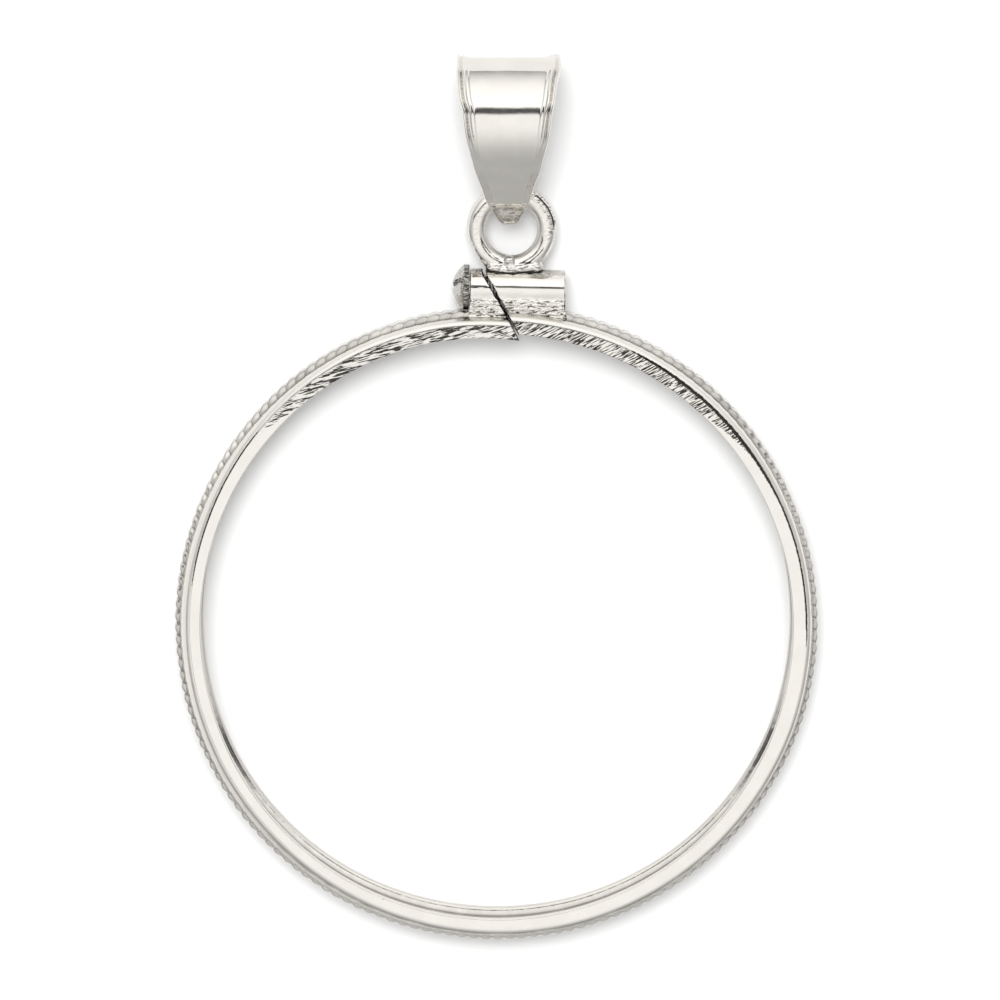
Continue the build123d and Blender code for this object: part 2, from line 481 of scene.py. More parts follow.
# Reeded band from the shoulder to its middle: crest radius, depth, height of the reeds, their turn, half
BAND_SECTION = (
    (15.97, 0.655, 0.02, 0.34, BOTH),
    (16.0, 0.672, 0.04, 0.34, FRONT),
    (16.04, 0.69, 0.06, 0.32, BOTH),
    (16.09, 0.711, 0.08, 0.28, FRONT),
    (16.145, 0.736, 0.09, 0.23, BOTH),
    (16.2, 0.764, 0.09, 0.17, FRONT),
    (16.23, 0.81, 0.09, 0.12, BOTH),
    (16.24, 0.91, 0.09, 0.07, FRONT),
    (16.242, 1.1, 0.09, 0.03, BOTH),
)
CREST_RADIUS = BAND_SECTION[-1][0]
# Columns of a reed, as parts of the pitch from its crest
REED_STEPS = np.array((-0.5, -0.45, -0.35, -0.18, 0.0, 0.18, 0.35, 0.45))
# Columns at the cut, in degrees from its faces at a radius, and the room up to the first reed
END_COLUMNS = np.array((0.0, 0.14, 0.28))
END_ROOM = 0.4
END_RADIUS = 15.6
# The columns this near the cut turn to follow its faces
END_REACH = 6.0
# The lips' inner edge stands outward on the lower side, and the shoulder draws in on the left side
LIP_OUTWARD = 0.055
SHOULDER_INWARD = 0.13
# The front lip is above this level
FRONT_LEVEL = 2.2
SEAM_RADIUS = 15.65


def ring_rows():
    """Rows of the whole section: valley radius, height, how high the reeds stand there, and their turn"""
    half = {}
    for side in (FRONT, BACK):
        lip = [(r, side * (MIDDLE - d), 0.0, 0.0) for r, d, where in LIP_SECTION if where in (BOTH, side)]
        band = [
            (r - rise, side * (MIDDLE - d), rise, turn)
            for r, d, rise, turn, where in BAND_SECTION
            if where in (BOTH, side)
        ]
        half[side] = lip + band
    first = (CHANNEL_RADIUS, 0.0, 0.0, 0.0)
    crest = (CREST_RADIUS - REED_DEPTH, 0.0, REED_DEPTH, 0.0)
    return np.array([first] + half[FRONT] + [crest] + half[BACK][::-1])


def slit_angle(radius, side):
    """Angle at which a face of the slit crosses a circle; side is -1 for the left end, 1 for the right"""
    level = SLIT_X * math.cos(SLIT_LEAN) + TUBE_CENTRE[1] * math.sin(SLIT_LEAN) + side * SLIT_WIDTH / 2
    if side < 0:
        level += END_SHIFT * math.sin(SLIT_LEAN)
    return np.degrees(SLIT_LEAN + np.arccos(level / radius))


def ring_angles():
    """Angles of the ring's columns, in degrees, from the cut's left face round to its right face"""
    first = float(slit_angle(END_RADIUS, -1))
    last = float(slit_angle(END_RADIUS, 1)) + 360
    reed = np.arange(REEDS + 1)
    angle = ((reed[:, None] + REED_STEPS[None, :]) * REED_PITCH).ravel() + (first - first % REED_PITCH)
    angle = angle[(angle > first + END_ROOM) & (angle < last - END_ROOM)]
    return np.concatenate([first + END_COLUMNS, angle, last - END_COLUMNS[::-1]])


def reed_shape(angle):
    """Place of each column in its reed, -0.5 to 0.5, and how far the reed stands out there, 0 to 1"""
    rng = np.random.default_rng(7)
    jitter = rng.normal(0, 0.03, REEDS)
    vigour = np.clip(rng.normal(0.95, 0.06, REEDS), 0.75, 1.0)
    place = angle / REED_PITCH
    number = np.round(place).astype(int)
    part = place - number
    lean = part + jitter[number % REEDS] * (0.25 - part**2) * 2 + 0.10 * (0.25 - part**2)
    bump = np.abs(np.cos(math.pi * np.clip(lean, -0.5, 0.5))) * vigour[number % REEDS]
    return part[:, None], bump[:, None]


class RingGrid:
    """Points of the ring, in columns round it and rows of its section"""

    def __init__(self):
        self.radius, self.height, self.rise, self.twist = ring_rows().T
        self.angle = ring_angles()
        self.part, bump = reed_shape(self.angle)
        full = self.radius + bump * self.rise
        self.turn = self.turned(full)
        self.around = self.turn % 360
        self.lower = window(self.turn, 185, 240, 300, 355)
        self.points = notch_for_head(self.roughened(self.bent(full)))
        self.points[..., 2] = np.clip(self.points[..., 2], 0.0, THICKNESS)
        self.level = self.points[..., 2]

    def turned(self, full):
        """Angle of each point: the reeds' ends curl round, and the end columns follow the cut's faces"""
        first, last = self.angle[0], self.angle[-1]
        near_first = np.clip(1 - (self.angle - first) / END_REACH, 0, 1)[:, None]
        near_last = np.clip(1 - (last - self.angle) / END_REACH, 0, 1)[:, None]
        turn = self.angle[:, None] + self.twist * REED_PITCH * (1 - near_first) * (1 - near_last)
        turn = turn + near_first * (slit_angle(full, -1) - first)
        return turn + near_last * (slit_angle(full, 1) + 360 - last)

    def bent(self, full):
        """Radius of each point, with the left end's shift, a slight wave, and the uneven lips and shoulder"""
        back = np.clip((SHIFT_TO - self.turn) / (SHIFT_TO - SHIFT_FROM), 0, None) ** 2
        full = full - END_SHIFT * back * (self.turn < SHIFT_TO) + 0.008 * line_noise(self.turn, 11, 3)
        full = full + LIP_OUTWARD * self.lower * smooth_step(15.15, 14.98, self.radius)
        left_side = window(self.turn, 125, 165, 215, 290)
        full = full - SHOULDER_INWARD * left_side * window(self.radius, 15.40, 15.60, 15.80, 15.94)
        return np.minimum(full, CREST_RADIUS)

    def roughened(self, full):
        """Points at each radius and angle, slightly uneven, most so at the reeds' ends"""
        turn = np.radians(self.turn)
        height = MIDDLE + np.broadcast_to(self.height, full.shape)
        points = np.stack([full * np.cos(turn), full * np.sin(turn), height], -1)
        reed_ends = smooth_step(0.045, 0.085, self.rise) * (self.height < 0.6)
        ragged = noise(points, 0.55, 5) * 0.006 + noise(points, 0.18, 6) * 0.0025
        ragged = ragged + 0.008 * noise(points, 0.16, 8) * reed_ends
        lip = smooth_step(0.9, 1.35, np.abs(points[..., 2] - MIDDLE))
        points[..., 2] += ragged * np.sign(points[..., 2] - MIDDLE) * 0.6
        points[..., :2] *= 1 + (ragged * (1 - lip) / np.linalg.norm(points[..., :2], axis=-1))[..., None]
        return points

    def file_marks(self, marks):
        """How deep the file's strokes are: they thin out away from the cut, towards the lip's outer edge"""
        face = smooth_step(FRONT_LEVEL, 2.6, self.level) * smooth_step(15.60, 15.52, self.radius)
        face = face * (0.78 + 0.22 * smooth_step(14.9, 15.45, self.radius))
        draw_from, draw_to, draw_in = marks["draws_in"]
        inner = LIP_RADIUS + draw_in * smooth_step(draw_from, draw_to, self.around)
        inward, outward = marks["soft"]
        face = face * smooth_step(inner - inward, inner + outward, self.radius)
        return window(self.around, *marks["angles"]) * face

    def creases(self):
        """Dark seam at the front lip's outer edge, dark dashes on the back lip's inside, and painted shade on
        the cut's edges
        """
        broad = 0.045 + 0.02 * (self.around < 90) + 0.06 * window(self.around, 20, 38, 52, 68)
        broad = broad + 0.02 * window(self.around, 150, 165, 180, 200)
        seam = 1.25 * line(self.radius, SEAM_RADIUS - broad, broad) * (self.level > FRONT_LEVEL)
        right = 0.90 * np.maximum(smooth_step(352, 360, self.around), smooth_step(74, 60, self.around))
        seam = seam * np.maximum(window(self.around, 134, 144, 166, 178), right)
        dashes = line(self.radius, 15.10, 0.035) * (self.level > 0.2) * (self.level < 0.6)
        dashes = dashes * window(self.around, 190, 205, 335, 350)
        dashes = dashes * (0.88 + 0.22 * line_noise(self.around, 9, 9))
        # Painted shade on the columns beside the cut
        ends = line(np.minimum(self.angle - self.angle[0], self.angle[-1] - self.angle), 0, 0.16)
        return np.maximum(seam + dashes, 1.2 * ends[:, None])

    def oxide_and_shade(self):
        """Darker colour: painted shade with some oxide between the reeds and round their ends, and painted
        shade at the upper reeds' inner ends, under the lower shoulder and in the channel
        """
        outline = 15.955 + 0.075 * np.clip(self.part + 0.5, 0, 1) ** 1.5
        # Painted shade with some oxide round the reeds' inner ends and in their valleys, less on the lower
        # side
        grooves = 0.75 * line(self.radius + self.rise, outline, 0.024) * (self.height > 0.3)
        valleys = 0.75 * line(np.abs(self.part), 0.5, 0.07) * smooth_step(15.90, 15.93, self.radius)
        grooves = (grooves + valleys) * (1 - 0.85 * self.lower)
        # Painted shade at the reeds' inner ends on the upper side
        upper = 0.55 * window(self.around, 20, 45, 125, 155)
        upper = upper * smooth_step(15.89, 15.92, self.radius) * (self.height > 0.55)
        # Painted shade under the shoulder on the lower side
        shoulder = 0.85 * self.lower * line(self.radius, 15.80, 0.10) * (self.height > 0.3)
        depth = np.abs(self.level - MIDDLE)
        # Painted shade on the channel's wall and on the back lip's slope
        wall = 0.38 * smooth_step(1.12, 1.06, depth) * smooth_step(15.40, 15.36, self.radius)
        wall = wall * (self.radius < 15.38)
        slope = 0.36 * (depth < 1.12) * (depth > 0.8) * (self.radius > 15.0) * (self.radius < 15.34)
        return np.clip(np.maximum(grooves, upper) + shoulder + np.maximum(wall, slope), 0, 1)

    def dullness(self):
        """1 on the shoulder between the lip and the reeds"""
        return window(self.radius, 15.56, 15.62, 15.80, 15.88) + 0 * self.turn


def make_ring():
    grid = RingGrid()
    columns, rows = grid.turn.shape
    faces = swept_faces(columns, rows)[:, ::-1].tolist()
    faces.append(list(range(rows)))
    faces.append(list(range((columns - 1) * rows, columns * rows))[::-1])
    points = grid.points.reshape(-1, 3)
    ring = add_piece("bezel_ring", points, faces, ring_silver, "bezel", "bezel")
    for marks in FILE_MARKS:
        set_attribute(ring, marks["name"], grid.file_marks(marks))
    set_attribute(ring, "crease", grid.creases())
    set_attribute(ring, "oxide_and_shade", grid.oxide_and_shade())
    set_attribute(ring, "soft", grid.dullness())


def along_tube(points):
    """Places along the tube's axis, across it in the ring's plane, and above that plane"""
    away = points - TUBE_CENTRE
    along = away[..., 0] * math.cos(TUBE_SLOPE) - away[..., 1] * math.sin(TUBE_SLOPE)
    across = away[..., 0] * math.sin(TUBE_SLOPE) + away[..., 1] * math.cos(TUBE_SLOPE)
    return along, across, away[..., 2]


def notch_for_head(points):
    """The ring's edge is filed away round the screw's head"""
    along, across, up = along_tube(points)
    radius = HEAD_RADIUS + HEAD_GAP
    end = -TUBE_HALF
    beside = (along < end + 0.02) & (along > end - HEAD_THICKNESS - 0.6) & (np.abs(up) < radius)
    floor = -np.sqrt(np.clip(radius**2 - up**2, 0, None))
    push = np.where(beside & (across > floor), floor - across, 0.0)
    moved = points.copy()
    moved[..., 1] += push
    return moved


# Tube, saddle and jump ring


def tube_field(points):
    """Closing tube, slightly uneven"""
    along, across, up = along_tube(points)
    tube = drum(np.hypot(across, up), along, TUBE_RADIUS, TUBE_HALF, 0.06)
    return tube - 0.004 * noise(points, 0.9, 13)


def saddle_field(points):
    """Cast foot between tube and ring: flared ends and layered, ragged faces"""
    along, across, up = along_tube(points)
    foot = np.clip(-across / 2.0, 0, 1)
    left_edge = -TUBE_HALF - 0.12 * foot**2 - along
    right_edge = along - TUBE_HALF - 0.02 - 0.26 * foot**2.5
    layer = across + 0.05 * noise(points * (0.4, 1, 1), 0.5, 14)
    ridge = np.abs((layer / 0.215) % 1 - 0.5) * 2
    ridge = 0.055 * (ridge**0.5 - 0.6) * smooth_step(-0.50, -0.62, across)
    lumps = 0.016 * noise(points * (0.5, 1, 1), 0.26, 11) + 0.014 * noise(points * (0.5, 1, 1), 0.10, 12)
    face = np.abs(up) - 0.855 + ridge - lumps
    inner = 15.5 - np.hypot(points[..., 0], points[..., 1])
    saddle = smooth_max(np.maximum(left_edge, right_edge), face, 0.08)
    return np.maximum(np.maximum(saddle, across + 0.1), inner)


def wire_field(points):
    """Jump ring's wire, slightly uneven"""
    away = points - JUMP_CENTRE
    circle = np.hypot(away[..., 0], away[..., 1]) - JUMP_CIRCLE
    return np.hypot(circle, away[..., 2]) - JUMP_WIRE - 0.010 * noise(points, 0.55, 15)


def pad_field(points):
    """Lumpy solder where the jump ring stands on the tube"""
    pad = ball(points, (0.75, 18.02, MIDDLE), (1.30, 0.33, 0.56))
    pad = smooth_min(pad, ball(points, (-0.05, 18.12, MIDDLE + 0.08), (0.52, 0.30, 0.42)), 0.15)
    pad = smooth_min(pad, ball(points, (1.70, 18.13, MIDDLE + 0.05), (0.66, 0.33, 0.48)), 0.15)
    pad = smooth_min(pad, ball(points, (0.62, 18.42, MIDDLE + 0.30), (0.30, 0.30, 0.30)), 0.12)
    return pad - 0.055 * noise(points, 0.42, 16) - 0.014 * noise(points, 0.15, 17)


def head_field(points):
    """The tube, its cast saddle, the jump ring and the solder, before the slit is sawn"""
    along, across, up = along_tube(points)
    body = smooth_min(tube_field(points), saddle_field(points), 0.07)
    ring = smooth_min(wire_field(points), pad_field(points), 0.10)
    body = smooth_min(body, ring, 0.03)
    return smooth_max(body, BORE_RADIUS - np.hypot(across, up), 0.05)


# Dark spots of solder on the tube and saddle: x, y, reach
SPOTS = (
    (0.30, 15.75, 0.22),
    (0.72, 16.42, 0.20),
    (-0.60, 17.98, 0.14),
    (1.05, 15.95, 0.16),
)
# Dark marks on the jump ring's front: strength, how far outside the wire's middle line, width, and the
# angles at which they start, are full, fade and end
WIRE_MARKS = (
    (1.2, 0.33, 0.060, (-5, 8, 50, 62)),
    (1.0, -0.20, 0.045, (-170, -160, -118, -100)),
    (1.0, 0.05, 0.045, (-72, -64, -34, -20)),
)
# A point this far beyond the tube's axis belongs to the jump ring
WIRE_FROM = 1.2


def wire_marks(points):
    away = points - JUMP_CENTRE
    side = np.degrees(np.arctan2(away[..., 1], away[..., 0]))
    circle = np.hypot(away[..., 0], away[..., 1]) - JUMP_CIRCLE - 0.05 * noise(points, 0.5, 28)
    marks = 0
    for strength, outward, width, angles in WIRE_MARKS:
        marks = marks + strength * line(circle, outward, width) * window(side, *angles)
    return marks * (away[..., 2] > 0.1)


def slit_creases(points):
    """Painted shade on the slit's edges, and a dark dashed line along the tube to its left"""
    along, across, up = along_tube(points)
    beside = np.abs(slit_distance(points)) - SLIT_WIDTH / 2
    # Painted shade on the slit's edges
    edges = line(beside, 0, 0.07) * (0.75 + 0.6 * noise(points, 0.3, 23)) + 0.8 * (beside < 0.015)
    dashes = line(across - 0.03 * noise(points, 0.2, 29), 0.07, 0.045) * (up > 0.5)
    return edges + dashes * (slit_distance(points) < 0) * (0.9 + 0.3 * noise(points, 0.15, 30))


def crease_of(points):
    """Where the colour darkens: painted shade round the solder's joins and on the slit's edges, and dark
    spots, marks on the wire, dashes by the slit and the tube's right rim
    """
    along, across, up = along_tube(points)
    pad = pad_field(points)
    wire = wire_field(points)
    # Painted shade along the solder's join with the tube
    on_tube = 1.5 * line(np.hypot(tube_field(points), np.minimum(pad, wire)), 0, 0.08)
    on_tube = on_tube * smooth_step(0.3, 0.6, across)
    # Painted shade where the solder meets the jump ring
    on_wire = 0.95 * line(np.hypot(pad, wire), 0, 0.055)
    spots = 0
    for x, y, reach in SPOTS:
        away = (points[..., 0] - x) ** 2 + 1.6 * (points[..., 1] - y) ** 2
        spots = spots + 0.82 * np.exp(-away / reach**2)
    rim = 0.70 * line(along, TUBE_HALF, 0.05) * (across < 1.0)
    rim = rim + 0.3 * (along > TUBE_HALF - 0.1) * noise(points, 0.2, 34)
    marks = wire_marks(points) * (across > WIRE_FROM)
    return np.clip(on_tube + on_wire + slit_creases(points) + spots + marks + rim, 0, 1.3)


def slit_distance(points):
    """Distance to the right of the slit's uneven middle line"""
    across = points[..., 1] - TUBE_CENTRE[1]
    straight = (points[..., 0] - SLIT_X) * math.cos(SLIT_LEAN) + across * math.sin(SLIT_LEAN)
    wander = 0.035 * noise(points * (0, 1, 0.2), 0.33, 24) + 0.020 * noise(points * (0, 1, 0.2), 0.13, 25)
    wander = wander + 0.10 * smooth_step(0.65, 1.1, across)
    return straight - wander * smooth_step(-1.9, -1.2, across)


def left_field(points):
    """What is left of the slit, clear of the screw's head"""
    along, across, up = along_tube(points)
    ragged = 0.030 * noise(points, 0.20, 21) + 0.022 * noise(points, 0.09, 26) + 0.02
    half = smooth_max(head_field(points), slit_distance(points) + SLIT_WIDTH / 2 + ragged, 0.05)
    head = np.maximum(np.hypot(across, up) - HEAD_RADIUS - HEAD_GAP, along + TUBE_HALF)
    return np.maximum(half, -head)


def right_field(points):
    """What is right of the slit, with the jump ring"""
    ragged = 0.030 * noise(points, 0.20, 22) + 0.022 * noise(points, 0.09, 27) + 0.02
    return smooth_max(head_field(points), SLIT_WIDTH / 2 - slit_distance(points) + ragged, 0.05)


def roughness_of(points):
    """Where the casting and the solder are left rough"""
    along, across, up = along_tube(points)
    saddle = smooth_step(-0.50, -0.62, across)
    solder = smooth_step(0.06, -0.02, pad_field(points)) * smooth_step(0.4, 0.7, across)
    top = 0.55 * smooth_step(0.62, 0.80, across) * smooth_step(0.97, 0.94, np.hypot(across, up))
    wire = 0.03 * smooth_step(1.3, 1.6, across)
    away = points - JUMP_CENTRE
    worn = window(np.degrees(np.arctan2(away[:, 1], away[:, 0])), -25, 5, 55, 85)
    outside = smooth_step(1.80, 1.95, np.hypot(away[:, 0], away[:, 1]))
    wire = wire + 0.85 * worn * outside * (across > WIRE_FROM)
    return np.clip(np.maximum.reduce([saddle, 0.7 * solder, top, wire]), 0, 1)


def make_head():
    """The two halves either side of the slit, each with the box that holds it"""
    for name, field, low, high in (
        ("bezel_tube_left", left_field, (-1.75, 15.2, 0.4), (1.3, 18.7, 2.6)),
        ("bezel_tube_right", right_field, (-1.65, 15.2, 0.4), (3.95, 22.4, 2.6)),
    ):
        points, faces = surface_net(field, low, high, 0.045)
        piece = add_piece(name, points, faces, cast_silver, "bezel", "bezel")
        set_attribute(piece, "rough", roughness_of(points))
        set_attribute(piece, "crease", crease_of(points))


# Closing screw


def off_slot(across, up):
    """Distance from the slot's middle plane"""
    return np.abs(across * math.cos(SLOT_TURN) - up * math.sin(SLOT_TURN))


def screw_field(points):
    """Domed, slotted head outside the tube's left end"""
    along, across, up = along_tube(points)
    face = -TUBE_HALF - HEAD_GAP
    radial = np.hypot(across, up)
    rise = HEAD_THICKNESS - HEAD_RIM
    dome = (HEAD_RADIUS**2 + rise**2) / (2 * rise)
    middle = face - HEAD_THICKNESS + dome
    outside = np.hypot(along - middle, radial) - dome
    head = smooth_max(np.maximum(outside, radial - HEAD_RADIUS), along - face, 0.05)
    slot = np.maximum(off_slot(across, up) - SLOT_WIDTH / 2, along - face + HEAD_THICKNESS - SLOT_DEPTH)
    head = smooth_max(head, -slot, 0.04)
    return head - 0.010 * noise(points, 0.35, 31) - 0.005 * noise(points, 0.12, 32)


def make_screw():
    low = TUBE_CENTRE + np.array((-TUBE_HALF - 1.1, -1.4, -1.4))
    high = TUBE_CENTRE + np.array((-TUBE_HALF + 0.2, 1.4, 1.4))
    points, faces = surface_net(screw_field, low, high, 0.035)
    thread_points, thread_faces = thread(len(points))
    points = np.concatenate([points, thread_points])
    faces = faces.tolist() + thread_faces
    name = "closing_screw"
    piece = add_piece("closing_screw_head", points, faces, screw_silver, name, name)
    along, across, up = along_tube(points)
    radial = np.hypot(across, up)
    # Painted shade round the head's rim and in its slot, and dark streaks across the dome
    rim = 0.72 * line(radial, HEAD_RADIUS, 0.07)
    streak = 0.45 * noise(np.stack([np.arctan2(across, up) * 2.2, radial * 0.8, along * 0], -1), 0.35, 33)
    slot = 0.75 * smooth_step(0.20, 0.14, off_slot(across, up)) * smooth_step(-2.62, -2.75, along)
    set_attribute(piece, "rough", np.full(len(points), 0.30))
    set_attribute(piece, "crease", np.maximum.reduce([rim, slot, 0.2 + streak]))


def thread(offset):
    """Threaded shank from the head into the tube; its faces count points from offset"""
    around = 28
    pitch = 0.30
    turns = np.linspace(0, 2 * math.pi, around, endpoint=False)
    end = TUBE_HALF - SHANK_RECESS
    along = np.append(np.arange(-TUBE_HALF - HEAD_GAP - 0.2, end, pitch / 8), end)[:, None]
    phase = (along / pitch - turns / (2 * math.pi)) % 1
    depth = 0.085 * np.abs(2 * phase - 1) ** 1.2
    radius = SHANK_RADIUS - depth * smooth_step(-TUBE_HALF + 0.05, -TUBE_HALF + 0.35, along)
    radius[-1] = SHANK_RADIUS - 0.10
    across = radius * np.cos(turns)
    x = TUBE_CENTRE[0] + along * math.cos(TUBE_SLOPE) + across * math.sin(TUBE_SLOPE)
    y = TUBE_CENTRE[1] - along * math.sin(TUBE_SLOPE) + across * math.cos(TUBE_SLOPE)
    points = np.stack([x, y, TUBE_CENTRE[2] + radius * np.sin(turns)], -1).reshape(-1, 3)
    columns = len(along)
    faces = (swept_faces(columns, around)[:, ::-1] + offset).tolist()
    faces.append([offset + i for i in range(around)])
    faces.append([offset + (columns - 1) * around + i for i in range(around)][::-1])
    return points, faces


# Bail

# Front outline: height above the pivot, and how far the left and right sides stand from it
BAIL_FRONT = (
    (-1.5, 0.03, 0.05),
    (-1.42, 0.11, 0.13),
    (-1.2, 0.22, 0.26),
    (-1.0, 0.37, 0.39),
    (-0.8, 0.52, 0.52),
    (-0.44, 0.7, 0.68),
    (-0.08, 0.93, 0.88),
    (0.32, 1.14, 1.05),
    (1.19, 1.36, 1.21),
    (1.85, 1.55, 1.42),
    (2.5, 1.73, 1.59),
    (3.1, 1.85, 1.7),
    (3.7, 1.995, 1.84),
    (4.23, 2.115, 1.97),
    (4.74, 2.21, 2.03),
    (5.22, 2.265, 2.1),
    (5.67, 2.3, 2.17),
    (6.08, 2.45, 2.265),
    (6.44, 2.515, 2.32),
    (6.78, 2.56, 2.39),
    (7.0, 2.585, 2.51),
    (7.1, 2.59, 2.58),
    (7.4, 2.59, 2.59),
)
# Outer face of the strip: distance in from the edge, height at the top, near the foot, and at the tip
RIM_SECTION = (
    (0.0, -0.12, -0.15, -0.1),
    (0.012, 0.02, -0.075, -0.02),
    (0.04, 0.12, -0.046, 0.06),
    (0.08, 0.165, -0.036, 0.105),
    (0.125, 0.165, -0.031, 0.105),
    (0.165, 0.12, -0.027, 0.05),
    (0.2, 0.05, -0.024, -0.04),
    (0.225, 0.035, -0.022, -0.07),
    (0.25, 0.065, -0.019, -0.08),
    (0.29, 0.125, -0.015, -0.085),
    (0.335, 0.14, -0.01, -0.085),
    (0.38, 0.105, -0.005, -0.085),
    (0.425, 0.045, 0.0, -0.085),
    (0.47, 0.028, 0.006, -0.085),
    (0.52, 0.058, 0.012, -0.085),
    (0.57, 0.045, 0.009, -0.085),
    (0.61, 0.006, -0.003, -0.085),
    (0.65, 0.0, 0.0, -0.085),
)
# Inner face of the strip: place across as a part of half its width, and height as a part of half the strip
INNER_HALF = (
    (1.0, -0.6),
    (0.985, -0.9),
    (0.94, -1),
    (0.7, -1),
    (0.35, -1),
)
INNER_SECTION = INNER_HALF + ((0, -1),) + tuple((-place, height) for place, height in INNER_HALF[::-1])
# Places across the flat between the rims, as parts of half its width
FLAT_PLACES = np.linspace(-1, 1, 30)[1:-1]
# Front of the loop: its middle line bends to each radius from a facing on, in degrees from its length
FRONT_BENDS = ((61.0, 3.00), (80.0, 3.50), (96.0, 6.0))
# The front leg ends this far outside the eye's circle
TIP_LIFT = 0.10


def front_leg(facing_end):
    """Places down the front from the round top, by facing, until the leg runs straight"""
    top = BAIL_TOP - BAIL_STRIP / 2
    facing = np.radians(np.arange(0.0, facing_end, 0.5))
    facing = np.append(facing, math.radians(facing_end))
    radius = np.full(len(facing), top)
    for start, bend in FRONT_BENDS:
        radius[np.degrees(facing) > start] = bend
    middle = (facing[1:] + facing[:-1]) / 2
    length = (radius[1:] * np.diff(facing))[:, None]
    steps = np.stack([-np.sin(middle), np.cos(middle)], 1) * length
    places = np.concatenate([[(BAIL_REACH + top, 0.0)], steps]).cumsum(0)
    return places, facing


def bent_places(radius, facing, along=0.0):
    """Places and outward directions on an arc round a centre that lies that far along the loop"""
    out = np.stack([np.cos(facing), np.sin(facing)], 1)
    places = np.reshape(radius, (-1, 1)) * out + np.array((along, 0.0))
    return np.concatenate([places, out], 1)


def straight_places(start, radius, count):
    """Places from the start, not counted, to where the leg meets a circle round the pivot"""
    foot = np.concatenate([radius * start[2:], start[2:]])
    return start + np.linspace(0, 1, count)[1:, None] * (foot - start)


def bail_path():
    """Places and outward directions along the loop, from the tip up the front and down the back"""
    eye = BAIL_EYE + BAIL_STRIP / 2
    top = BAIL_TOP - BAIL_STRIP / 2
    low, high = 100.0, 125.0
    for _ in range(40):
        guess = (low + high) / 2
        places, facing = front_leg(guess)
        reach = places[-1] @ np.array((math.cos(facing[-1]), math.sin(facing[-1])))
        low, high = (guess, high) if reach > eye + TIP_LIFT else (low, guess)
    bow = np.concatenate([places, np.stack([np.cos(facing), np.sin(facing)], 1)], 1)
    leg = straight_places(bow[-1], eye + TIP_LIFT, 90)
    around = np.linspace(facing[-1], math.pi, 48)[1:]
    tip = bent_places(eye + TIP_LIFT * smooth_step(math.pi, facing[-1], around), around)
    front = np.concatenate([bow, leg, tip])[::-1]
    turn = math.asin((BAIL_TOP - BAIL_EYE - BAIL_STRIP) / BAIL_REACH)
    facing = np.linspace(0, -math.pi / 2 - turn, 100)[1:]
    bow = bent_places(top, facing, BAIL_REACH)
    leg = straight_places(bow[-1], eye, 60)
    tip = bent_places(eye, np.linspace(facing[-1], -math.pi, 24)[1:-1])
    return np.concatenate([front, bow, leg, tip])


def bail_sides(heights):
    """Half the strip's width at each height, and how far right its middle stands"""
    table, *sides = np.array(BAIL_FRONT).T
    kernel = np.hanning(17)
    kernel = kernel / kernel.sum()
    for i, widths in enumerate(sides):
        side = np.interp(heights, table, widths)
        sides[i] = np.convolve(np.concatenate([side[-8:], side, side[:8]]), kernel, "valid")
    left, right = sides
    return ((left + right) / 2)[:, None], ((right - left) / 2)[:, None]


